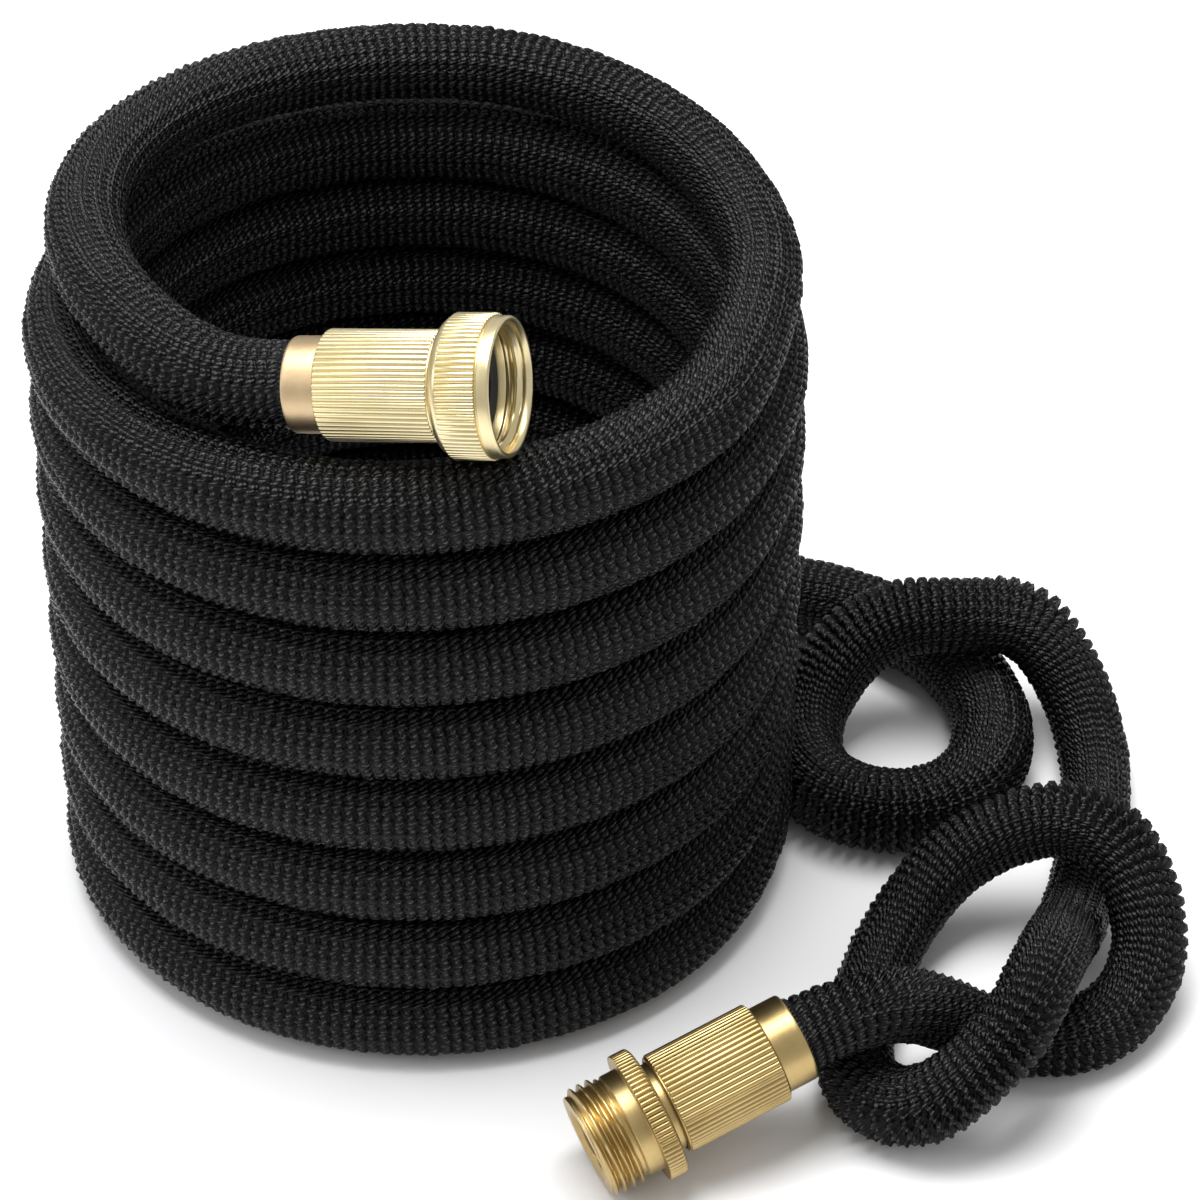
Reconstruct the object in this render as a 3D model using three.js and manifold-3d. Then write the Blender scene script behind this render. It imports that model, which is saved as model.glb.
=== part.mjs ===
// An expandable garden hose with a gathered fabric jacket. Most of it stands as a round coil.
// The inlet end lies on top of the coil, and the outlet end trails off in a loop and a loose knot.
// Millimetres, +Z up. The coil's axis is the working origin until the last lines.

import * as THREE from "three";
import { mergeVertices } from "three/addons/utils/BufferGeometryUtils.js";
import Module from "manifold-3d";

const wasm = await Module();
wasm.setup();

// ---- Driving dimensions

const HOSE_DIAMETER = 21;
const HOSE_RADIUS = HOSE_DIAMETER / 2;
const COIL_RADIUS = 81; // to the middle of the hose
const COIL_CENTRE_Y = -1.5;
const COIL_TURNS = 8;
const COIL_SIDES = 24;
const JACKET_BORE_RADIUS = 8.9;
const LATEX_OUTER_RADIUS = 7.9;
const LATEX_BORE_RADIUS = 6.2;
const GAP = 0.3; // between neighbours that touch

// Couplings. Each is built along +Z from the mouth of its end ring, at 0.
const END_RING = { outer: 10.7, inner: 9.8, length: 12, rounding: 0.4 };
const CRIMPED_JACKET = { outer: 9.5, inner: 8.4 };
const CRIMPED_LATEX = { outer: 8, inner: 6.5 };
const CLAMP = { outer: 10.7, inner: 9.8, start: 12.4, end: 27, slot: 2.4 };
const SHELL = { outer: 12.25, inner: 11, start: 7.6, ribs: 56, ribDepth: 0.35 };
const BARB = { outer: 6.2, bore: 4.75, start: 3, end: 27.4, teeth: 4, toothDepth: 0.6 };
const SHOULDER = { radius: 10.7, start: 28 };
const CRIMP_START = -2.5; // where the hose starts to draw in, before a coupling's mouth
const CRIMP_END = 27; // how far the jacket and the latex reach into a coupling
const APPROACH = [4.5, 0.9]; // how far before a mouth the hose already runs along its axis

const NUT = { outer: 16, start: 35, end: 49.3, holeRadius: 9.9, webEnd: 37 };
const NUT_BAND = { start: 37.3, end: 46, ribs: 74, ribDepth: 0.45 };
const INLET_SHELL_END = NUT.start - 0.5;
const INLET_FLANGE = { radius: 12, start: 37.4, end: 39.3 };
const INLET_NECK_RADIUS = 9.4;
const WASHER = { outer: 12.2, inner: 8, start: 39.7, end: 42.3 };

const FLANGE = { outer: 15.8, start: 36.4, end: 41.2, ribs: 74, ribDepth: 0.45, rounding: 0.6 };
const OUTLET_SHELL_END = FLANGE.start - 2;
const OUTLET = { shoulderRadius: 12.7, threadStart: 45.5, end: 54.7, boreRadius: 7.75, boreStart: 35 };

// Garden hose thread: 11.5 threads to the inch, 26.9 mm across.
const THREAD_PITCH = 25.4 / 11.5;
const THREAD_MAJOR = 13.45;
const THREAD_MINOR = 12.1;
const BAND_PROUD = 0.1; // how far the grooves between a band's ribs stay proud of the turned piece
const NUT_THREAD_PLAY = 0.4; // how much wider the nut's thread is

// Where the couplings lie: the end ring's mouth, and the way the coupling points.
const INLET = {
  mouth: new THREE.Vector3(-20.8, -63.2, 177.1),
  axis: new THREE.Vector3(57.8, -12.7, 10).normalize(),
};
const OUTLET_END = {
  mouth: new THREE.Vector3(92.7, -106.7, 27.3),
  axis: new THREE.Vector3(-47.4, -23.6, -14).normalize(),
};

// The hose's route where it isn't coiled. The top turn leaves the coil on the right, goes round
// the back and ends at the inlet. The tail leaves the coil at the back, on the ground.
const TOP_TURN_ROUTE = [
  [80, 5, 162.8], [76, 27, 164.5], [62, 53, 167], [40, 71, 170], [14, 79, 172.5],
  [-14, 77, 174], [-40, 67, 175], [-60, 50, 176], [-72.5, 28, 177], [-76, 4, 178.3],
  [-73.5, -14, 178.5], [-66, -32, 178], [-56, -45, 177], [-44, -56.2, 176], [-32, -60.7, 175.2],
];
const TAIL_ROUTE = [
  [42, 81, 10.8], [58, 81.5, 10.8], [88, 80, 10.8], [110, 72, 10.8], [128.5, 58, 10.8],
  [139.5, 39, 10.8], [141.5, 18, 10.8], [133, 0, 10.8], [117, -7, 10.8], [101, -1.5, 10.8],
  [93.5, 14, 10.8], [95.5, 30, 14], [105, 41, 24], [118, 45.5, 31], [134, 45.5, 32.5],
  [149.5, 47.5, 30], [162, 38, 18.5], [167.5, 18, 11], [167, -5, 10.8], [164, -27, 10.8],
  [160, -44, 11.5], [156, -61, 20], [153, -76, 29.5], [149, -89, 33], [143, -103.5, 31],
  [132.5, -113.5, 22.5], [119.5, -115, 13.5], [109.5, -106.5, 10.8], [107.5, -89.5, 10.8], [110.5, -70, 10.8],
  [117.5, -51, 13], [129, -37, 20.5], [144, -31.5, 28], [160, -33, 32.6], [173.2, -42.5, 30.3],
  [179, -60, 17.5], [170.5, -76.5, 10.8], [156, -85.5, 10.8], [140, -86.5, 12.3], [124.5, -91, 25.3],
  [110.5, -99.5, 32.6], [101.4, -103.2, 30.7],
];
const TOP_TURN_STEPS = 24;
const TAIL_STEPS = 52;

// ---- Shapes

// A profile of [radius, height] pairs turned about +Z.
function turned(profile, segments = 24) {
  const points = profile.map(([radius, height]) => new THREE.Vector2(radius, height));
  return new THREE.LatheGeometry(points, segments).rotateX(Math.PI / 2);
}

// A ring whose profile closes on itself, given as its outline once round.
function turnedRing(outline, segments) {
  return turned([...outline, outline[0]], segments);
}

// A plain sleeve from start to end.
function sleeve(inner, outer, start, end, segments) {
  return turnedRing([[inner, start], [outer, start], [outer, end], [inner, end]], segments);
}

// A sleeve with straight ribs along its outside.
function ribbedSleeve(inner, outer, start, end, ribs, ribDepth) {
  const outline = new THREE.Shape();
  for (let i = 0; i < 2 * ribs; i++) {
    const angle = (i * Math.PI) / ribs;
    const radius = i % 2 ? outer - ribDepth : outer;
    const place = [radius * Math.cos(angle), radius * Math.sin(angle)];
    if (i === 0) outline.moveTo(...place);
    else outline.lineTo(...place);
  }
  outline.closePath();
  outline.holes.push(new THREE.Path().absarc(0, 0, inner, 0, 2 * Math.PI, true));
  const made = new THREE.ExtrudeGeometry(outline, {
    depth: end - start,
    bevelEnabled: false,
    curveSegments: 16,
  });
  return made.translate(0, 0, start);
}

// A regular polygon, as a shape or as the path of a hole.
function polygon(Kind, sides, radius) {
  const made = new Kind();
  for (let i = 0; i < sides; i++) {
    const angle = (2 * Math.PI * i) / sides;
    const place = [radius * Math.cos(angle), radius * Math.sin(angle)];
    if (i === 0) made.moveTo(...place);
    else made.lineTo(...place);
  }
  made.closePath();
  return made;
}

// A hollow tube along a curve, open at both ends.
function tube(curve, steps, section) {
  const shape = polygon(THREE.Shape, section.sides, section.outer);
  shape.holes.push(polygon(THREE.Path, section.boreSides, section.bore));
  return new THREE.ExtrudeGeometry(shape, { steps, extrudePath: curve, bevelEnabled: false });
}

// The coil's outer shape: one bead for each turn, stacked up from the ground.
function coilRing(grown = 0) {
  const half = HOSE_RADIUS + grown;
  const notch = HOSE_RADIUS * Math.tan(Math.PI / 8);
  const side = (sign) => {
    const points = [[COIL_RADIUS + sign * (notch + grown), -grown]];
    for (let turn = 0; turn < COIL_TURNS; turn++) {
      const middle = HOSE_RADIUS + turn * HOSE_DIAMETER;
      const last = turn === COIL_TURNS - 1;
      points.push([COIL_RADIUS + sign * half, middle - notch]);
      points.push([COIL_RADIUS + sign * half, middle + notch]);
      const top = middle + HOSE_RADIUS + (last ? grown : 0);
      points.push([COIL_RADIUS + sign * (notch + grown), top]);
    }
    return points;
  };
  return turnedRing([...side(1), ...side(-1).reverse()], COIL_SIDES).translate(0, COIL_CENTRE_Y, 0);
}

// ---- Joining and cutting

function solid(geometry) {
  const bare = geometry.clone();
  for (const name of Object.keys(bare.attributes)) {
    if (name !== "position") bare.deleteAttribute(name);
  }
  const merged = mergeVertices(bare, 1e-4);
  return new wasm.Manifold(
    new wasm.Mesh({
      numProp: 3,
      vertProperties: new Float32Array(merged.attributes.position.array),
      triVerts: new Uint32Array(merged.index.array),
    }),
  );
}

function geometryOf(made) {
  const mesh = made.getMesh();
  const geometry = new THREE.BufferGeometry();
  geometry.setAttribute("position", new THREE.BufferAttribute(mesh.vertProperties, 3));
  geometry.setIndex(new THREE.BufferAttribute(mesh.triVerts, 1));
  geometry.computeVertexNormals();
  return geometry;
}

function joined(...geometries) {
  return geometryOf(geometries.map(solid).reduce((all, next) => all.add(next)));
}

// ---- Materials

const brass = new THREE.MeshStandardMaterial({ color: 0xd9bd7c, roughness: 0.32, metalness: 1 });
const fabric = new THREE.MeshStandardMaterial({ color: 0x141416, roughness: 0.75, metalness: 0 });
const latex = new THREE.MeshStandardMaterial({ color: 0x2b2b2d, roughness: 0.6, metalness: 0 });
const rubber = new THREE.MeshStandardMaterial({ color: 0x1a1a1a, roughness: 0.8, metalness: 0 });
const nylon = new THREE.MeshStandardMaterial({ color: 0xe8e6df, roughness: 0.5, metalness: 0 });

const hose = new THREE.Group();

function add(group, name, geometry, material) {
  const mesh = new THREE.Mesh(geometry, material);
  mesh.name = name;
  group.add(mesh);
}

// ---- Pieces that both couplings have

// The barbed stem that the latex is pushed onto, as the outside of a profile.
function barbOutline() {
  const points = [[BARB.outer - BARB.toothDepth, BARB.start]];
  const pitch = (BARB.end - BARB.start) / BARB.teeth;
  for (let tooth = 0; tooth < BARB.teeth; tooth++) {
    const end = BARB.start + (tooth + 1) * pitch;
    points.push([BARB.outer, end - 1]);
    points.push([BARB.outer - BARB.toothDepth, end]);
  }
  return points;
}

// A ring whose mouth is rounded over, where the hose goes in.
function endRing() {
  const { outer, inner, length, rounding } = END_RING;
  return turnedRing([
    [inner + rounding, 0],
    [outer - rounding, 0],
    [outer, rounding],
    [outer, length],
    [inner, length],
    [inner, rounding],
  ]);
}

// The split collar that squeezes jacket and latex onto the barb.
function clampCollar() {
  const collar = solid(sleeve(CLAMP.inner, CLAMP.outer, CLAMP.start, CLAMP.end));
  const slot = new THREE.BoxGeometry(CLAMP.outer, CLAMP.slot, 2 * CLAMP.end);
  slot.translate(CLAMP.outer, 0, CLAMP.end);
  return geometryOf(collar.subtract(solid(slot)));
}

function shell(end) {
  return ribbedSleeve(SHELL.inner, SHELL.outer, SHELL.start, end, SHELL.ribs, SHELL.ribDepth);
}

// ---- Inlet coupling, with a nut that swivels

// Ridges of a thread on the wall between start and end, going up the profile.
function ridges(start, end, root, crest) {
  const points = [];
  const count = Math.floor((end - start) / THREAD_PITCH);
  for (let i = 0; i < count; i++) {
    const low = start + (i + 0.1) * THREAD_PITCH;
    points.push([root, low]);
    points.push([crest, low + THREAD_PITCH / 2]);
  }
  return points;
}

function swivelNut() {
  const { outer, start, end, holeRadius, webEnd } = NUT;
  const root = outer - NUT_BAND.ribDepth;
  const threadCrest = THREAD_MINOR + NUT_THREAD_PLAY;
  const body = turnedRing([
    [holeRadius, start],
    [outer - 2, start],
    [root, start + 2],
    [root, end - 1],
    [root - 1, end],
    [THREAD_MAJOR + 2 * NUT_THREAD_PLAY, end],
    ...ridges(webEnd + 1, end - 1, THREAD_MAJOR + NUT_THREAD_PLAY, threadCrest).reverse(),
    [threadCrest, webEnd],
    [holeRadius, webEnd],
  ]);
  const ribDepth = NUT_BAND.ribDepth - BAND_PROUD;
  const band = ribbedSleeve(root - 1, outer, NUT_BAND.start, NUT_BAND.end, NUT_BAND.ribs, ribDepth);
  return joined(body, band);
}

function inletInsert() {
  return turnedRing([
    [BARB.bore, BARB.start],
    ...barbOutline(),
    [SHOULDER.radius, SHOULDER.start],
    [SHOULDER.radius, INLET_SHELL_END],
    [INLET_NECK_RADIUS, INLET_SHELL_END],
    [INLET_NECK_RADIUS, INLET_FLANGE.start],
    [INLET_FLANGE.radius, INLET_FLANGE.start],
    [INLET_FLANGE.radius, INLET_FLANGE.end],
    [BARB.bore, INLET_FLANGE.end],
  ]);
}

const inlet = new THREE.Group();
inlet.position.copy(INLET.mouth);
inlet.quaternion.setFromUnitVectors(new THREE.Vector3(0, 0, 1), INLET.axis);
hose.add(inlet);

add(inlet, "swivel_nut", swivelNut(), brass);
add(inlet, "inlet_washer", sleeve(WASHER.inner, WASHER.outer, WASHER.start, WASHER.end), rubber);
add(inlet, "inlet_insert", inletInsert(), brass);
add(inlet, "inlet_shell", shell(INLET_SHELL_END), brass);
add(inlet, "inlet_end_ring", endRing(), brass);
add(inlet, "inlet_clamp_collar", clampCollar(), nylon);

// ---- Outlet coupling, with a fixed male thread

function outletSpigot() {
  const { shoulderRadius, threadStart, end, boreRadius, boreStart } = OUTLET;
  const root = FLANGE.outer - FLANGE.ribDepth;
  const body = turnedRing([
    [BARB.bore, BARB.start],
    ...barbOutline(),
    [SHOULDER.radius, SHOULDER.start],
    [SHOULDER.radius, FLANGE.start],
    [root - FLANGE.rounding, FLANGE.start],
    [root, FLANGE.start + FLANGE.rounding],
    [root, FLANGE.end - FLANGE.rounding],
    [root - FLANGE.rounding, FLANGE.end],
    [shoulderRadius, FLANGE.end],
    [shoulderRadius, threadStart - 0.4],
    [THREAD_MINOR, threadStart],
    ...ridges(threadStart, end, THREAD_MINOR, THREAD_MAJOR),
    [THREAD_MINOR - 0.3, end],
    [boreRadius, end],
    [boreRadius, boreStart],
  ]);
  const bandStart = FLANGE.start + FLANGE.rounding;
  const bandEnd = FLANGE.end - FLANGE.rounding;
  const ribDepth = FLANGE.ribDepth - BAND_PROUD;
  const band = ribbedSleeve(root - 1, FLANGE.outer, bandStart, bandEnd, FLANGE.ribs, ribDepth);
  return joined(body, band);
}

const outlet = new THREE.Group();
outlet.position.copy(OUTLET_END.mouth);
outlet.quaternion.setFromUnitVectors(new THREE.Vector3(0, 0, 1), OUTLET_END.axis);
hose.add(outlet);

add(outlet, "outlet_spigot", outletSpigot(), brass);
add(outlet, "outlet_shell", shell(OUTLET_SHELL_END), brass);
add(outlet, "outlet_end_ring", endRing(), brass);
add(outlet, "outlet_clamp_collar", clampCollar(), nylon);

// ---- The hose: a coil, the turn on top of it and the tail, each with its latex tube

// A route's curve, carried on straight to just outside its coupling's mouth.
function routeInto(points, coupling) {
  const before = (distance) => coupling.mouth.clone().addScaledVector(coupling.axis, -distance);
  const places = points.map((point) => new THREE.Vector3(...point));
  return new THREE.CatmullRomCurve3([...places, ...APPROACH.map(before)]);
}

// A stretch of tube with its crimped end inside a coupling, cut clear of the coil.
function stretch(curve, steps, section, crimp, group) {
  const run = tube(curve, steps, section);
  const crimped = sleeve(crimp.inner, crimp.outer, CRIMP_START, CRIMP_END);
  group.updateMatrixWorld(true);
  crimped.applyMatrix4(group.matrixWorld);
  return geometryOf(solid(run).add(solid(crimped)).subtract(solid(coilRing(GAP))));
}

const jacketSection = { outer: HOSE_RADIUS, bore: JACKET_BORE_RADIUS, sides: 8, boreSides: 8 };
const latexSection = { outer: LATEX_OUTER_RADIUS, bore: LATEX_BORE_RADIUS, sides: 8, boreSides: 6 };
const topTurn = routeInto(TOP_TURN_ROUTE, INLET);
const tail = routeInto(TAIL_ROUTE, OUTLET_END);

add(hose, "hose_coil", coilRing(), fabric);
add(hose, "hose_top_turn", stretch(topTurn, TOP_TURN_STEPS, jacketSection, CRIMPED_JACKET, inlet), fabric);
add(hose, "hose_tail", stretch(tail, TAIL_STEPS, jacketSection, CRIMPED_JACKET, outlet), fabric);
add(hose, "latex_top_turn", stretch(topTurn, TOP_TURN_STEPS, latexSection, CRIMPED_LATEX, inlet), latex);
add(hose, "latex_tail", stretch(tail, TAIL_STEPS, latexSection, CRIMPED_LATEX, outlet), latex);

// ---- The origin goes to the middle of the footprint, on the ground

hose.updateMatrixWorld(true);
const box = new THREE.Box3().setFromObject(hose, true);
const middle = box.getCenter(new THREE.Vector3());
hose.position.set(-middle.x, -middle.y, -box.min.z);

export default hose;
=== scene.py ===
"""The look of an expandable garden hose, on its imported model.

One jacket, gathered into ribs, runs from the inlet coupling over the top turn, down the coil and
out along the tail to the outlet coupling. Both couplings are turned and ribbed brass.
Metres, +Z up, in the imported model's frame.
"""

import math

import bpy
import numpy as np
from mathutils import Matrix, Vector


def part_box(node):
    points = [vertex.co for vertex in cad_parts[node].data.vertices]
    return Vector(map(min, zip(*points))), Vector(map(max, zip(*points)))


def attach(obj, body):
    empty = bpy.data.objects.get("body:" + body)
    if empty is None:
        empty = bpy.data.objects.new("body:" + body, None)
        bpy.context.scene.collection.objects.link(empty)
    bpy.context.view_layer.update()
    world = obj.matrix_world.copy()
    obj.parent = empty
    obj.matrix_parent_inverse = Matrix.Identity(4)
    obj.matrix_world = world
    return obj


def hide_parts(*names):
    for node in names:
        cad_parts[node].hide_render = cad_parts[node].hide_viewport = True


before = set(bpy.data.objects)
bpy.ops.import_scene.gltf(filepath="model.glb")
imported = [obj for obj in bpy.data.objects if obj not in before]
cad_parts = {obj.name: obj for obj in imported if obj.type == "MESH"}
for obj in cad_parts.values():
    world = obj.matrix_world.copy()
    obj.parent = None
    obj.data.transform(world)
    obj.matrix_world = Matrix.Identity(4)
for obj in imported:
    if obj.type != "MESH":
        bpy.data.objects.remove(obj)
MM = 0.001
rng = np.random.default_rng(7)

# ---- Driving dimensions, in millimetres

HOSE_DIAMETER = 21.0
HOSE_RADIUS = HOSE_DIAMETER / 2
HOSE_BORE_RADIUS = 6.4  # of the latex tube, which the jacket lies on
CRIMPED_RADIUS = 9.5  # of the jacket inside an end ring
COIL_RADIUS = 81.0
COIL_TURNS = 8
COIL_LEAN = 0.54  # how far each turn stands nearer the front than the one above it
RIB_PITCH = 2.6
RIB_PHASES = np.array([0, 0.17, 0.5, 0.83])  # where a rib's rings are, its valley first
TUFTS = 18  # round the jacket
TUFT_SLANT = 0.62  # how far each end of a tuft lies along the hose from its middle
TUFT_GAP = 0.6
CRIMP_LENGTH = 14.0  # of jacket inside each end ring
BEND_EASE = 6.0  # how far the route is blurred along itself, so that no bend is sharp
THREAD_PITCH = 25.4 / 11.5

# The jacket's resting radius, at distances from each end of the hose.
RADIUS_FROM_INLET = [(0, 10.3), (60, 9.6), (140, 9.35), (330, 9.35), (420, HOSE_RADIUS)]
RADIUS_FROM_OUTLET = [(0, 8.95), (430, 8.95), (560, HOSE_RADIUS)]

# ---- Where things are

# What the jacket's one mesh stands for.
HOSE_NODES = ["hose_coil", "hose_top_turn", "hose_tail", "latex_top_turn", "latex_tail"]

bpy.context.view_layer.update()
coil_low, coil_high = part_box("hose_coil")
COIL_CENTRE_Y = -1.5  # in the working frame of the lists below, whose origin the coil's axis is
ORIGIN = Vector(((coil_low.x + coil_high.x) / 2, (coil_low.y + coil_high.y) / 2, 0)) / MM
ORIGIN.y -= COIL_CENTRE_Y
ORIGIN.z = coil_low.z / MM

INLET_MOUTH = Vector((-20.8, -63.2, 177.1))
INLET_AXIS = Vector((57.8, -12.7, 10)).normalized()
OUTLET_MOUTH = Vector((92.7, -106.7, 27.3))
OUTLET_AXIS = Vector((-47.4, -23.6, -14)).normalized()

TOP_TURN_ROUTE = [
    (80, 5, 162.8), (76, 27, 164.5), (62, 53, 167), (40, 71, 170), (14, 79, 172.5),
    (-14, 77, 174), (-40, 67, 175), (-60, 50, 176), (-72.5, 28, 177), (-76, 4, 178.3),
    (-73.5, -14, 178.5), (-66, -32, 178), (-56, -45, 177), (-44, -56.2, 176), (-32, -60.7, 175.2),
]
TAIL_ROUTE = [
    (42, 81, 10.8), (58, 81.5, 10.8), (88, 80, 10.8), (110, 72, 10.8), (128.5, 58, 10.8),
    (139.5, 39, 10.8), (141.5, 18, 10.8), (133, 0, 10.8), (117, -7, 10.8), (101, -1.5, 10.8),
    (93.5, 14, 10.8), (95.5, 30, 14), (105, 41, 24), (118, 45.5, 31), (134, 45.5, 32.5),
    (149.5, 47.5, 30), (162, 38, 18.5), (167.5, 18, 11), (167, -5, 10.8), (164, -27, 10.8),
    (160, -44, 11.5), (156, -61, 20), (153, -76, 29.5), (149, -89, 33), (143, -103.5, 31),
    (131.7, -111.7, 21.6), (119, -112.6, 13), (109, -104.2, 10.8), (107.2, -88.5, 10.8),
    (110.5, -70, 10.8), (117.5, -51, 13), (129, -37, 20.5), (144, -31.5, 28), (160, -33, 32.6),
    (171.8, -42.7, 29.8), (177, -60, 16.8), (169.2, -76.2, 10.8), (156, -85.5, 10.8),
    (140, -86.5, 12), (124.5, -91.8, 24.3), (110.5, -100.2, 31.2), (101.3, -103.4, 29.6),
]


def smooth_step(t):
    t = np.clip(t, 0, 1)
    return t * t * (3 - 2 * t)


# ---- Camera

CAMERA_PLACE = Vector((79.5, -843.8, 734.7))  # from the coil's axis, on the ground
CAMERA_YAW = -0.0437  # radians
CAMERA_PITCH = 0.667  # radians below level
CAMERA_LENS = 132.1
CAMERA_SENSOR = 36


def make_camera():
    camera = bpy.data.objects.new("camera", bpy.data.cameras.new("camera"))
    bpy.context.collection.objects.link(camera)
    camera.data.lens = CAMERA_LENS
    camera.data.sensor_width = CAMERA_SENSOR
    camera.data.clip_end = 20
    camera.location = (CAMERA_PLACE + ORIGIN) * MM
    tilt = Matrix.Rotation(math.pi / 2 - CAMERA_PITCH, 3, "X")
    camera.rotation_euler = (Matrix.Rotation(-CAMERA_YAW, 3, "Z") @ tilt).to_euler()
    bpy.context.scene.camera = camera


# ---- The hose's centreline


def coil_height(turn):
    """How high the hose's middle is, by turns down from the front of the topmost whole turn.

    Each turn lies flat from the front round to the back and steps down on the right. The steps
    fade into an even slope towards the top.
    """
    even = HOSE_RADIUS + HOSE_DIAMETER * (COIL_TURNS - 1 - turn)
    part = turn - np.floor(turn)
    stepped = HOSE_DIAMETER * (part - smooth_step((part - 0.5) / 0.38))
    share = 0.3 + 0.7 * np.clip(turn / (COIL_TURNS - 1.5), 0, 1)
    return np.maximum(even + share * stepped, HOSE_RADIUS)


def coil_points(first=-0.17, last=COIL_TURNS - 0.5, per_turn=24):
    turn = np.linspace(first, last, int((last - first) * per_turn))
    angle = -math.pi / 2 - 2 * math.pi * turn
    x = COIL_RADIUS * np.cos(angle)
    y = COIL_RADIUS * np.sin(angle) - COIL_LEAN * turn
    return np.stack([x, y, coil_height(turn)], 1)


def catmull_rom(points, per_span=14):
    """A centripetal Catmull-Rom curve through the points."""
    points = np.vstack([2 * points[0] - points[1], points, 2 * points[-1] - points[-2]])
    made = []
    for before, start, end, after in zip(points, points[1:], points[2:], points[3:]):
        spans = (start - before, end - start, after - end)
        knots = [np.sqrt(np.linalg.norm(span)) for span in spans]
        leave = (start - before) / knots[0] - (end - before) / (knots[0] + knots[1])
        leave = (leave + (end - start) / knots[1]) * knots[1]
        arrive = (end - start) / knots[1] - (after - start) / (knots[1] + knots[2])
        arrive = (arrive + (after - end) / knots[2]) * knots[1]
        t = np.linspace(0, 1, per_span, endpoint=False)[:, None]
        cubic = 2 * start - 2 * end + leave + arrive
        square = -3 * start + 3 * end - 2 * leave - arrive
        made.append(start + leave * t + square * t**2 + cubic * t**3)
    return np.vstack([*made, points[-2:-1]])


def resampled(points, step):
    """The same line with points an even step apart."""
    along = np.concatenate([[0], np.cumsum(np.linalg.norm(np.diff(points, axis=0), axis=1))])
    count = int(round(along[-1] / step))
    places = np.linspace(0, along[-1], count + 1)
    return np.stack([np.interp(places, along, points[:, i]) for i in range(3)], 1)


def softened(values, reach):
    """Values along a line, blurred with a bell of that many samples, ends kept."""
    offsets = np.arange(-3 * reach, 3 * reach + 1)
    weights = np.exp(-0.5 * (offsets / reach) ** 2)
    weights /= weights.sum()
    size = 3 * reach
    head = 2 * values[0] - values[size:0:-1]
    tail = 2 * values[-1] - values[-2 : -size - 2 : -1]
    padded = np.vstack([head, values, tail])
    return np.stack([np.convolve(column, weights, "valid") for column in padded.T], 1)


def into_coupling(mouth, axis):
    """Points straight along a coupling's axis, from just outside its mouth to the hose's end."""
    return np.array([mouth + axis * a for a in (-4.5, -0.9, 6, CRIMP_LENGTH)])


def slackened(line, step):
    """The jacket's resting radius along the hose: full in the coil, drawn thinner at both ends."""
    from_inlet = np.arange(len(line)) * step
    top = np.interp(from_inlet, *zip(*RADIUS_FROM_INLET))
    tail = np.interp(from_inlet[::-1], *zip(*RADIUS_FROM_OUTLET))
    return np.minimum(top, tail)


def centreline(step):
    """The hose's middle line, from its end in the inlet to its end in the outlet."""
    inlet_end = into_coupling(INLET_MOUTH, INLET_AXIS)[::-1]
    outlet_end = into_coupling(OUTLET_MOUTH, OUTLET_AXIS)
    top = np.array(TOP_TURN_ROUTE[::-1], float)
    tail = np.array(TAIL_ROUTE, float)
    points = np.vstack([inlet_end, top, coil_points(), tail, outlet_end])
    line = resampled(catmull_rom(points), step)
    line = softened(line, int(round(BEND_EASE / step)))
    line[:, 2] = np.maximum(line[:, 2], HOSE_RADIUS)
    line = resampled(line, step)

    # The thinner tail settles onto the ground, away from its coupling.
    clear_length, ease, top_turn_height = 10, 40, 120
    from_outlet = np.arange(len(line))[::-1] * step
    settled = smooth_step((from_outlet - CRIMP_LENGTH - clear_length) / ease)
    low_down = smooth_step((top_turn_height - line[:, 2]) / ease)
    line[:, 2] -= settled * (HOSE_RADIUS - slackened(line, step)) * low_down
    return line


def frames(line):
    """Unit tangents, and two unit normals that never twist, at each point of a line."""
    tangents = np.gradient(line, axis=0)
    tangents /= np.linalg.norm(tangents, axis=1)[:, None]
    normal = np.cross(tangents[0], (0, 0, 1))
    normals = []
    for tangent in tangents:
        normal = normal - tangent * (normal @ tangent)
        normal = normal / np.linalg.norm(normal)
        normals.append(normal)
    normals = np.array(normals)
    return tangents, normals, np.cross(tangents, normals)


def spokes(line, count):
    """Unit tangents of a line, and that many unit vectors square to it, all round each point."""
    tangents, normals, sides = frames(line)
    angle = np.arange(count) / count * 2 * math.pi
    cosines, sines = np.cos(angle)[None, :, None], np.sin(angle)[None, :, None]
    return tangents, normals[:, None] * cosines + sides[:, None] * sines


# ---- Meshes


def make_object(name, verts, faces, uvs):
    """An object from places in millimetres in the working frame, and lists of corners."""
    mesh = bpy.data.meshes.new(name)
    mesh.from_pydata((np.asarray(verts) + np.array(ORIGIN)) * MM, [], faces)
    layer = mesh.uv_layers.new(name="UVMap")
    layer.data.foreach_set("uv", np.asarray(uvs, dtype=np.float32).ravel())
    mesh.update()
    obj = bpy.data.objects.new(name, mesh)
    bpy.context.collection.objects.link(obj)
    return obj


def grid_faces(rows, columns, first=0):
    """Quads of a tube of rows of columns, whose columns close round."""
    row = np.arange(rows - 1)[:, None] * columns
    column = np.arange(columns)[None]
    following = (column + 1) % columns
    corners = [row + column, row + following, row + columns + following, row + columns + column]
    return np.stack([c.ravel() for c in corners], 1) + first


def grid_uvs(rows, columns, along, around):
    """A UV for each corner of grid_faces, along the tube and then round it."""
    row = np.repeat(np.arange(rows - 1), columns)
    column = np.tile(np.arange(columns), rows - 1)
    low, high = along[row], along[row + 1]
    left, right = column / columns * around, (column + 1) / columns * around
    pairs = [(low, left), (low, right), (high, right), (high, left)]
    return np.stack([np.stack(p, 1) for p in pairs], 1).reshape(-1, 2)


# ---- The jacket

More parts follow.
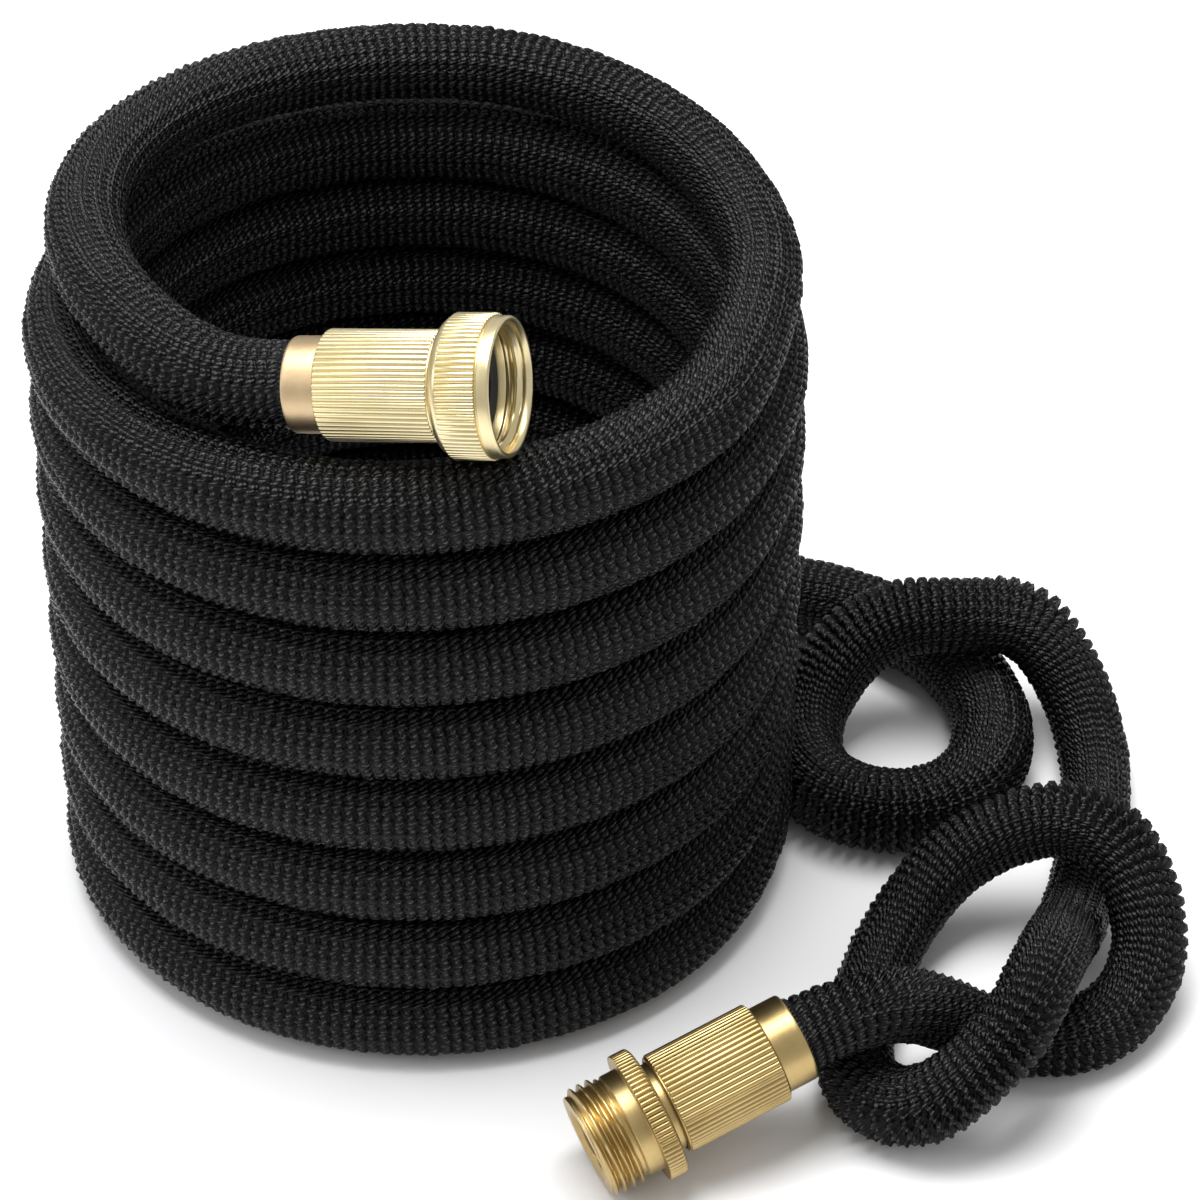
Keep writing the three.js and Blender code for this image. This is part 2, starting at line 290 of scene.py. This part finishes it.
RINGS_PER_RIB = len(RIB_PHASES)
COLUMNS_PER_TUFT = 3
COLUMNS = COLUMNS_PER_TUFT * TUFTS
INNER_SPACING = 3 * RINGS_PER_RIB  # the bore is smooth, so it has a ring to every third rib
FINGER_PULL = np.array([0, 1, 0, -1])  # which way each of a rib's rings draws in to make a finger
REST_DEPTH = 1.4  # of the valleys between ribs, where the hose is straight
SHALLOWEST, DEEPEST = 1.0, 4.0
TIGHTEST = 0.35  # the least room that a rib has along the hose, as a share of its full room


def jacket_surface(line, step):
    """The places of the gathered cloth's outer surface, one row of columns for each ring."""
    tangents, out = spokes(line, COLUMNS)
    bend = softened(np.gradient(tangents, axis=0) / step, reach=8)

    # The cloth opens into separate fingers on the outside of a bend and closes up on the inside.
    stretch = -HOSE_RADIUS * np.einsum("ick,ik->ic", out, bend)
    opened = np.maximum(stretch, 0)
    depth = np.clip(REST_DEPTH + 1.2 * stretch + 12 * opened**2, SHALLOWEST, DEEPEST)

    ring = np.arange(len(line))
    rib, ring_in_rib = ring // RINGS_PER_RIB, ring % RINGS_PER_RIB
    phase = RIB_PHASES[ring_in_rib]
    height = (1 - np.abs(2 * phase - 1) ** 2.6) ** 0.7
    tuft = np.arange(COLUMNS) // COLUMNS_PER_TUFT
    part = np.arange(COLUMNS) % COLUMNS_PER_TUFT
    slant = np.array([0, 1, -1])[part] * TUFT_SLANT
    gap = np.array([1, 0, 0.1])[part] * TUFT_GAP

    # No two tufts, and no two ribs, stand quite alike.
    def uneven(each_tuft, each_rib):
        ribs = rib.max() + 1
        by_tuft = rng.normal(0, each_tuft, (ribs, TUFTS))[rib][:, tuft]
        return by_tuft + rng.normal(0, each_rib, ribs)[rib][:, None]

    proud = np.clip(uneven(0.08, 0.06), -0.4, 0.3)
    sway = uneven(0.07, 0.06)

    crest = slackened(line, step)[:, None] + 0.7 * (depth - 1.5) + proud
    lifted = height[:, None]
    thinnest = HOSE_BORE_RADIUS + 0.2
    radius = np.maximum(crest - depth * (1 - lifted) - gap[None] * lifted, thinnest)
    along_hose = (phase - ring_in_rib / RINGS_PER_RIB)[:, None] * RIB_PITCH
    room = np.clip(1 + 1.5 * stretch, TIGHTEST, 1)  # the ribs crowd on the inside of a bend
    along_hose = along_hose + (slant[None] + sway) * (0.35 + 0.65 * lifted) * room
    pull = FINGER_PULL[ring_in_rib][:, None]
    along_hose = along_hose + pull * lifted * opened * 0.5 * RIB_PITCH

    # Drawn in where it enters an end ring, and flat under the crimp.
    along = ring * step
    from_mouth = np.minimum(along, along[-1] - along) - CRIMP_LENGTH
    free = smooth_step((from_mouth + 0.5) / 4.0)[:, None]
    radius = radius * free + CRIMPED_RADIUS * (1 - free)
    shift = tangents[:, None] * (along_hose * free)[..., None]
    return line[:, None] + out * radius[..., None] + shift


def make_jacket(line, step):
    """The whole jacket: gathered cloth outside, the latex tube's bore inside, and both cut ends."""
    outer = jacket_surface(line, step)
    rings = len(line)
    inner_line = line[::INNER_SPACING]
    if (rings - 1) % INNER_SPACING:
        inner_line = np.vstack([inner_line, line[-1:]])
    _, inner_out = spokes(inner_line, TUFTS)
    inner = inner_line[:, None] + HOSE_BORE_RADIUS * inner_out
    start = rings * COLUMNS
    outer_faces = grid_faces(rings, COLUMNS)
    inner_faces = grid_faces(len(inner_line), TUFTS, start)
    faces = outer_faces[:, ::-1].tolist() + inner_faces.tolist()
    ring = np.arange(rings)
    along = ring // RINGS_PER_RIB + RIB_PHASES[ring % RINGS_PER_RIB]
    uvs = [grid_uvs(rings, COLUMNS, along, TUFTS).reshape(-1, 4, 2)[:, ::-1].reshape(-1, 2)]
    uvs.append(np.zeros((4 * len(inner_faces), 2)))

    # The cut ends: each inner span meets the outer ones over it.
    last_outer, last_inner = (rings - 1) * COLUMNS, start + (len(inner_line) - 1) * TUFTS
    for k in range(TUFTS):
        over = [(COLUMNS_PER_TUFT * k + j) % COLUMNS for j in range(COLUMNS_PER_TUFT + 1)]
        left, right = k, (k + 1) % TUFTS
        faces.append([*over, start + right, start + left])
        far_over = [last_outer + column for column in over[::-1]]
        faces.append([last_inner + left, last_inner + right, *far_over])
        uvs.append(np.zeros((2 * (len(over) + 2), 2)))
    verts = np.vstack([outer.reshape(-1, 3), inner.reshape(-1, 3)])
    made = make_object("jacket", verts, faces, np.vstack(uvs))
    made.data.shade_smooth()
    return made


# ---- Turned brass


class Row:
    """One circle of a turned piece: its radius and height, how much of the ribs it has, and how
    far the thread stands out of it.
    """

    def __init__(self, radius, height, ribs=0.0, thread=0.0):
        self.radius, self.height, self.ribs, self.thread = radius, height, ribs, thread


def rounded(points, fillet, steps=3):
    """Rows along an outline of (radius, height) points, with its inner corners rounded off."""
    rows = [Row(*points[0])]
    for before, corner, after in zip(points, points[1:], points[2:]):
        p, c, n = Vector(before), Vector(corner), Vector(after)
        reach = min(fillet, (c - p).length * 0.45, (n - c).length * 0.45)
        start = c + (p - c).normalized() * reach
        end = c + (n - c).normalized() * reach
        for i in range(steps + 1):
            t = i / steps
            q = start * (1 - t) ** 2 + c * 2 * t * (1 - t) + end * t**2
            rows.append(Row(q.x, q.y))
    rows.append(Row(*points[-1]))
    return rows


GROOVE_SHARE = 0.22  # half a groove's width, in rib pitches
SEGMENTS_PER_RIB = 6
PLAIN_SEGMENTS = 96
SHARP_ANGLE = math.radians(38)


def turned(name, rows, mouth, axis, ribs=0, rib_depth=0.0, thread_start=0.0):
    """A closed turned piece, in place along a coupling's axis."""
    segments = SEGMENTS_PER_RIB * ribs if ribs else PLAIN_SEGMENTS
    angle = np.arange(segments) / segments * 2 * math.pi
    across = ribs * angle / (2 * math.pi) % 1
    groove = np.maximum(0, 1 - np.abs(across - 0.5) / GROOVE_SHARE) if ribs else np.zeros(segments)
    verts = []
    for row in rows:
        radius = row.radius - row.ribs * rib_depth * groove
        if row.thread:
            phase = (row.height - thread_start) / THREAD_PITCH - angle / (2 * math.pi)
            wave = np.abs((phase % 1) * 2 - 1)
            radius = radius + row.thread * np.clip(1.45 * wave - 0.22, 0, 1)
        height = np.full(segments, row.height)
        verts.append(np.stack([radius * np.cos(angle), radius * np.sin(angle), height], 1))
    verts = np.vstack(verts)
    faces = grid_faces(len(rows) + 1, segments) % (len(rows) * segments)
    outline = np.array([[r.radius, r.height] for r in rows + rows[:1]])
    along = np.concatenate([[0], np.cumsum(np.linalg.norm(np.diff(outline, axis=0), axis=1))])
    uvs = grid_uvs(len(rows) + 1, segments, along, 1.0)
    turn = np.array(Vector((0, 0, 1)).rotation_difference(axis).to_matrix())
    made = make_object(name, verts @ turn.T + np.array(mouth), faces.tolist(), uvs)
    made.data.shade_smooth()
    made.data.set_sharp_from_angle(angle=SHARP_ANGLE)
    return made


def thread_rows(start, end, root, height, rows_per_pitch=10, fade_length=1.2):
    """Rows of a helical thread, fading in and out at its ends, in either direction."""
    heights = np.linspace(start, end, int(abs(end - start) / THREAD_PITCH * rows_per_pitch))
    fade = smooth_step(abs(heights - start) / fade_length)
    fade = fade * smooth_step(abs(end - heights) / fade_length)
    return [Row(root, h, thread=height * f) for h, f in zip(heights, fade)]


SHELL_RIBS = 56
GRIP_RIBS = 74  # round the nut and round the outlet's flange
STEM_RADIUS, STEM_FOOT = 10.7, 28  # of the thick stretch behind the barb


def end_ring(name, mouth, axis):
    """The smooth ring that the hose goes into."""
    inner, outer, length = 9.9, 10.7, 12
    points = [(inner, length), (inner, 1.2), (10.1, 0.3), (10.35, 0)]
    points += [(10.55, 0.15), (outer, 0.6), (outer, length)]
    return turned(name, rounded(points, fillet=0.25), mouth, axis)


def shell(name, end, mouth, axis):
    """The ribbed sleeve between the end ring and the nut or flange."""
    top, start, inner, depth = 12.3, 7.6, 11.0, 0.42
    floor = top - depth
    front = [(inner, end), (inner, start), (floor - 0.5, start), (floor, start + 0.4)]
    back = [(floor + 0.1, end - 0.6), (floor + 0.1, end - 0.3), (floor - 0.3, end)]
    back.append((inner + 0.2, end))
    rows = rounded(front, fillet=0.15)
    rows += [Row(top - 0.1, start + 0.5, 0.8), Row(top, start + 0.8, 1), Row(top, end - 1, 1)]
    rows += [Row(top - 0.1, end - 0.7, 0.8)]
    rows += rounded(back, fillet=0.15)
    return turned(name, rows, mouth, axis, ribs=SHELL_RIBS, rib_depth=depth)


BARB_START, BARB_END, BARB_RADIUS, BARB_BORE = 3.0, 27.4, 6.2, 4.75


def barb_points(teeth=4, tooth=0.6):
    """The outline of a hose barb, from its bore to its last tooth."""
    points = [(BARB_BORE, BARB_START), (BARB_RADIUS - tooth, BARB_START)]
    pitch = (BARB_END - BARB_START) / teeth
    for i in range(teeth):
        end = BARB_START + (i + 1) * pitch
        points += [(BARB_RADIUS, end - 1), (BARB_RADIUS - tooth, end)]
    return points


def inlet_insert():
    """The barb, the stem behind it, the neck that the nut turns on, and the nut's flange."""
    stem_end, neck, neck_end, flange, end = 34.5, 9.4, 37.4, 12, 39.3
    points = barb_points() + [
        (STEM_RADIUS, STEM_FOOT), (STEM_RADIUS, stem_end), (neck, stem_end), (neck, neck_end),
        (flange, neck_end), (flange, end), (BARB_BORE + 0.4, end), (BARB_BORE, 38.9),
    ]
    return turned("inlet_stem", rounded(points, fillet=0.2), INLET_MOUTH, INLET_AXIS)


def inlet_washer():
    """The flat washer between the insert's flange and the end of a tap."""
    points = [(8, 40), (8, 42), (8.3, 42.3), (11.9, 42.3)]
    points += [(12.2, 42), (12.2, 40), (11.9, 39.7), (8.3, 39.7)]
    return turned("flat_washer", rounded(points, fillet=0.3), INLET_MOUTH, INLET_AXIS)


def nut():
    """The swivel nut: smooth at the back, ribbed in the middle, a plain collar at the mouth."""
    start, web_end, end, outer, depth = 35.0, 37.0, 49.3, 16.0, 0.5
    ribs_start, ribs_end = 37.3, 46.0
    hole, collar, root, thread_end = 9.9, 15.4, 13.75, 43.5
    back = [(hole, start), (13.2, start), (14.4, start + 0.4), (collar, start + 1.6)]
    waist = [(15.45, ribs_end + 0.03), (15.1, ribs_end + 0.1), (15.1, 46.45), (collar, 46.6)]
    mouth = [(collar, 46.8), (collar, end - 0.35), (15.1, end), (14.4, end), (root, end - 1)]
    rows = rounded(back, fillet=0.4)
    rows += [Row(15.5, ribs_start - 0.2), Row(15.5, ribs_start - 0.05)]
    rows += [Row(outer - 0.12, ribs_start, 0.8), Row(outer, ribs_start + 0.15, 1)]
    rows += [Row(outer, ribs_end - 0.15, 1), Row(outer - 0.12, ribs_end, 0.8)]
    rows += rounded(waist, fillet=0.06)
    rows += rounded(mouth, fillet=0.3)
    rows += thread_rows(end - 1.3, thread_end, root, -1.15)
    rows += rounded([(13.6, 43.3), (13.6, web_end), (hole, web_end)], fillet=0.2)
    return turned(
        "coupling_nut", rows, INLET_MOUTH, INLET_AXIS,
        ribs=GRIP_RIBS, rib_depth=depth, thread_start=start,
    )


def spigot():
    """The outlet's one piece of brass: barb, knurled flange, plain shoulder and male thread."""
    flange_start, flange_end, outer, depth = 36.4, 41.2, 15.8, 0.5
    shoulder, thread_start, end = 12.7, 45.5, 54.7
    root, bore = 12.05, 7.75
    stem = [(STEM_RADIUS, STEM_FOOT), (STEM_RADIUS, flange_start), (14.4, flange_start)]
    step = [(14.9, flange_end), (shoulder, flange_end), (shoulder, thread_start - 0.5)]
    step.append((12.1, thread_start))
    tip = [(root, end - 0.1), (11.5, end), (9.2, end), (8.6, end - 0.4), (bore, end - 1)]
    tip += [(bore, 35), (BARB_BORE, 32)]
    rows = rounded(barb_points() + stem, fillet=0.2)
    rows += [Row(14.9, flange_start + 0.1, 0.4), Row(15.45, flange_start + 0.4, 0.8)]
    rows += [Row(outer, flange_start + 0.9, 1)]
    rows += [Row(outer, flange_end - 0.15, 1), Row(outer - 0.15, flange_end, 0.8)]
    rows += rounded(step, fillet=0.25)
    rows += thread_rows(thread_start + 0.1, end - 0.2, root, 1.4)
    rows += rounded(tip, fillet=0.2)
    return turned(
        "thread_end", rows, OUTLET_MOUTH, OUTLET_AXIS,
        ribs=GRIP_RIBS, rib_depth=depth, thread_start=thread_start,
    )


# ---- Materials

GRAIN_DEPTH = 0.08 * MM


class Nodes:
    """A material whose Principled shader is fed by named sockets."""

    def __init__(self, name):
        self.material = bpy.data.materials.new(name)
        self.material.use_nodes = True
        self.tree = self.material.node_tree
        self.shader = self.tree.nodes["Principled BSDF"]

    def add(self, kind, inputs=None, **settings):
        node = self.tree.nodes.new(kind)
        for key, value in settings.items():
            setattr(node, key, value)
        for key, value in (inputs or {}).items():
            if isinstance(value, bpy.types.NodeSocket):
                self.tree.links.new(value, node.inputs[key])
            else:
                node.inputs[key].default_value = value
        return node

    def math(self, operation, *values):
        inputs = dict(enumerate(values))
        return self.add("ShaderNodeMath", inputs, operation=operation).outputs[0]

    def ramp(self, factor, *stops):
        node = self.add("ShaderNodeValToRGB", {"Fac": factor})
        for element, (place, colour) in zip(node.color_ramp.elements, stops):
            element.position, element.color = place, (*colour, 1)
        return node.outputs["Color"]

    def spread(self, value, low, high):
        node = self.add("ShaderNodeMapRange", {"Value": value, "To Min": low, "To Max": high})
        return node.outputs["Result"]

    def between(self, value, low, high, **settings):
        """0 where the value is low, 1 where it is high. Low may be the larger."""
        inputs = {"Value": value, "From Min": low, "From Max": high}
        return self.add("ShaderNodeMapRange", inputs, **settings).outputs["Result"]

    def bump(self, height, strength, distance):
        inputs = {"Height": height, "Strength": strength, "Distance": distance}
        made = self.add("ShaderNodeBump", inputs)
        self.tree.links.new(made.outputs["Normal"], self.shader.inputs["Normal"])

    def feed(self, **sockets):
        for key, value in sockets.items():
            target = self.shader.inputs[key.replace("_", " ")]
            if isinstance(value, bpy.types.NodeSocket):
                self.tree.links.new(value, target)
            else:
                target.default_value = value


def noise(nodes, vector, scale, detail=3.0, roughness=0.55):
    inputs = {"Vector": vector, "Scale": scale, "Detail": detail, "Roughness": roughness}
    return nodes.add("ShaderNodeTexNoise", inputs).outputs["Fac"]


def fabric_material():
    """Black gathered polyester with painted glints: light slanted streaks in the base colour along
    the filaments on each rib's crest, none in the dark, deep valleys.
    """
    nodes = Nodes("gathered_fabric")
    coordinates = nodes.add("ShaderNodeTexCoord")
    parts = nodes.add("ShaderNodeSeparateXYZ", {"Vector": coordinates.outputs["UV"]})
    along, around = parts.outputs["X"], parts.outputs["Y"]
    scaled = {"X": nodes.math("MULTIPLY", along, 2.1), "Y": nodes.math("MULTIPLY", around, 1.9)}
    scaled_uv = nodes.add("ShaderNodeCombineXYZ", scaled).outputs[0]
    wander = noise(nodes, scaled_uv, 1.0, 2.0)
    broken = noise(nodes, scaled_uv, 2.3, 3.0, 0.6)

    # Filaments run aslant over each tuft, about three to a tuft. Their glints are painted into the
    # base colour as light streaks.
    course = nodes.math("MULTIPLY", around, 3.0)
    course = nodes.math("ADD", course, nodes.math("MULTIPLY", along, 1.1))
    course = nodes.math("ADD", course, nodes.math("MULTIPLY", wander, 0.7))
    wave = nodes.math("SINE", nodes.math("MULTIPLY", course, 2 * math.pi))
    strand = nodes.math("MULTIPLY_ADD", wave, 0.5, 0.5)
    glint = nodes.math("POWER", strand, 5.0)

    # The painted glints lie only on each rib's crest and are broken into patches, so the valleys
    # keep the plain black.
    from_middle = nodes.math("ABSOLUTE", nodes.math("SUBTRACT", nodes.math("FRACT", along), 0.5))
    crest = nodes.between(from_middle, 0.36, 0.14, interpolation_type="SMOOTHSTEP")
    patchy = nodes.between(broken, 0.38, 0.62)
    fuzz = noise(nodes, coordinates.outputs["Object"], 1100.0, 3.0, 0.7)
    painted_glints = nodes.math("MULTIPLY", nodes.math("MULTIPLY", glint, crest), patchy)
    # The tone is the painted glint streaks plus a little random fuzz; its light end is the painted
    # glint grey.
    tone = nodes.math("ADD", nodes.math("MULTIPLY", painted_glints, 0.85), nodes.math("MULTIPLY", fuzz, 0.07))
    black, painted_glint_grey = (0.0018, 0.0018, 0.002), (0.11, 0.112, 0.117)
    nodes.feed(Base_Color=nodes.ramp(tone, (0.06, black), (0.95, painted_glint_grey)))
    nodes.feed(Roughness=nodes.spread(broken, 0.22, 0.38), Specular_IOR_Level=0.16)
    height = nodes.math("MULTIPLY", strand, 0.8)
    height = nodes.math("ADD", height, nodes.math("MULTIPLY", fuzz, 0.15))
    nodes.bump(height, 0.8, 0.28 * MM)
    return nodes.material


def brass_material(name, dark, light, roughness, brushing):
    """Satin brass with turning marks round it, soft patches, and a duller tone in its pores."""
    nodes = Nodes(name)
    coordinates = nodes.add("ShaderNodeTexCoord")
    patches = noise(nodes, coordinates.outputs["Object"], 60.0, 4.0)
    pores = noise(nodes, coordinates.outputs["Object"], 1500.0, 3.0, 0.65)
    stretched = {"Vector": coordinates.outputs["UV"], "Scale": (9.0, 2.5, 1.0)}
    marks = noise(nodes, nodes.add("ShaderNodeMapping", stretched).outputs[0], 2.2, 5.0, 0.7)
    tone = nodes.math("MULTIPLY", patches, 0.6)
    tone = nodes.math("ADD", tone, nodes.math("MULTIPLY", marks, 0.4))
    nodes.feed(Base_Color=nodes.ramp(tone, (0.3, dark), (0.68, light)), Metallic=1.0)
    low, high = roughness
    worn = nodes.math("ADD", nodes.math("MULTIPLY", marks, 0.6), nodes.math("MULTIPLY", pores, 0.4))
    nodes.feed(Roughness=nodes.spread(worn, low, high))
    marks = nodes.math("ADD", marks, nodes.math("MULTIPLY", pores, 0.4))
    nodes.bump(marks, brushing, GRAIN_DEPTH)
    return nodes.material


def plain_material(name, colour, roughness, grain):
    """Moulded rubber or plastic: a little unevenness in colour and gloss, and a fine grain."""
    nodes = Nodes(name)
    coordinates = nodes.add("ShaderNodeTexCoord")
    mottle = noise(nodes, coordinates.outputs["Object"], 120.0, 4.0)
    fine = noise(nodes, coordinates.outputs["Object"], grain, 3.0)
    darker = tuple(0.75 * c for c in colour)
    nodes.feed(Base_Color=nodes.ramp(mottle, (0.3, darker), (0.7, colour)))
    nodes.feed(Roughness=nodes.spread(mottle, roughness - 0.08, roughness + 0.08))
    nodes.bump(fine, 0.25, GRAIN_DEPTH)
    return nodes.material


# ---- The room


def make_floor():
    bpy.ops.mesh.primitive_plane_add(size=14, location=(0, 2, 0))
    floor = bpy.context.object
    floor.name = "floor"
    nodes = Nodes("studio_floor")
    nodes.feed(Base_Color=(0.92, 0.92, 0.93, 1), Roughness=0.9, Specular_IOR_Level=0.1)
    floor.data.materials.append(nodes.material)


def make_light(name, place, aim, size, power):
    light = bpy.data.objects.new(name, bpy.data.lights.new(name, "AREA"))
    bpy.context.collection.objects.link(light)
    light.data.shape = "RECTANGLE"
    light.data.size, light.data.size_y = size
    light.data.energy = power
    light.location = place
    light.rotation_euler = (Vector(aim) - Vector(place)).to_track_quat("-Z", "Y").to_euler()


def light_room():
    aim = (0, 0, 0.08)
    make_light("overhead", (-0.15, 0.15, 1.4), aim, (1.1, 0.9), 26)
    make_light("left_fill", (-1.3, -0.5, 0.9), aim, (0.5, 0.7), 4)
    world = bpy.data.worlds.new("room")
    bpy.context.scene.world = world
    world.use_nodes = True
    background = world.node_tree.nodes["Background"]
    background.inputs["Color"].default_value = (1, 1, 1, 1)
    background.inputs["Strength"].default_value = 0.6
    bpy.context.scene.view_settings.view_transform = "Standard"
    bpy.context.scene.view_settings.look = "None"


# ---- Everything together


def place(piece, body, slot, material, *nodes):
    piece.data.materials.clear()
    piece.data.materials.append(material)
    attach(piece, body)
    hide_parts(*nodes)
    return piece


make_camera()

ring_step = RIB_PITCH / RINGS_PER_RIB
fine_line = centreline(ring_step)

fabric = fabric_material()
pale_brass = brass_material(
    "pale_brass", (0.63, 0.52, 0.27), (0.88, 0.77, 0.48), roughness=(0.22, 0.36), brushing=0.12
)
satin_brass = brass_material(
    "satin_brass", (0.34, 0.235, 0.09), (0.60, 0.455, 0.21), roughness=(0.27, 0.42), brushing=0.2
)
reddish_brass = brass_material(
    "reddish_brass", (0.48, 0.34, 0.18), (0.74, 0.57, 0.36), roughness=(0.28, 0.45), brushing=0.6
)
rubber = plain_material("washer_rubber", (0.022, 0.022, 0.023), 0.6, 900.0)
nylon = plain_material("nylon", (0.78, 0.77, 0.72), 0.45, 500.0)

jacket = place(make_jacket(fine_line, ring_step), "hose", "jacket_fabric", fabric, *HOSE_NODES)

place(nut(), "nut", "brass", pale_brass, "swivel_nut")
place(inlet_washer(), "nut", "washer_rubber", rubber, "inlet_washer")
inlet, outlet = (INLET_MOUTH, INLET_AXIS), (OUTLET_MOUTH, OUTLET_AXIS)
inlet_pieces = [
    place(inlet_insert(), "hose", "brass", satin_brass, "inlet_insert"),
    place(shell("inlet_sleeve", 34.5, *inlet), "hose", "brass", pale_brass, "inlet_shell"),
    place(end_ring("inlet_ring", *inlet), "hose", "brushed_brass", reddish_brass, "inlet_end_ring"),
]
outlet_pieces = [
    place(spigot(), "hose", "brass", satin_brass, "outlet_spigot"),
    place(shell("outlet_sleeve", 34.4, *outlet), "hose", "brass", satin_brass, "outlet_shell"),
    place(
        end_ring("outlet_ring", *outlet), "hose", "brushed_brass", satin_brass, "outlet_end_ring"
    ),
]

for name in ("inlet_clamp_collar", "outlet_clamp_collar"):
    for material_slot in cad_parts[name].material_slots:
        material_slot.material = nylon

make_floor()
light_room()
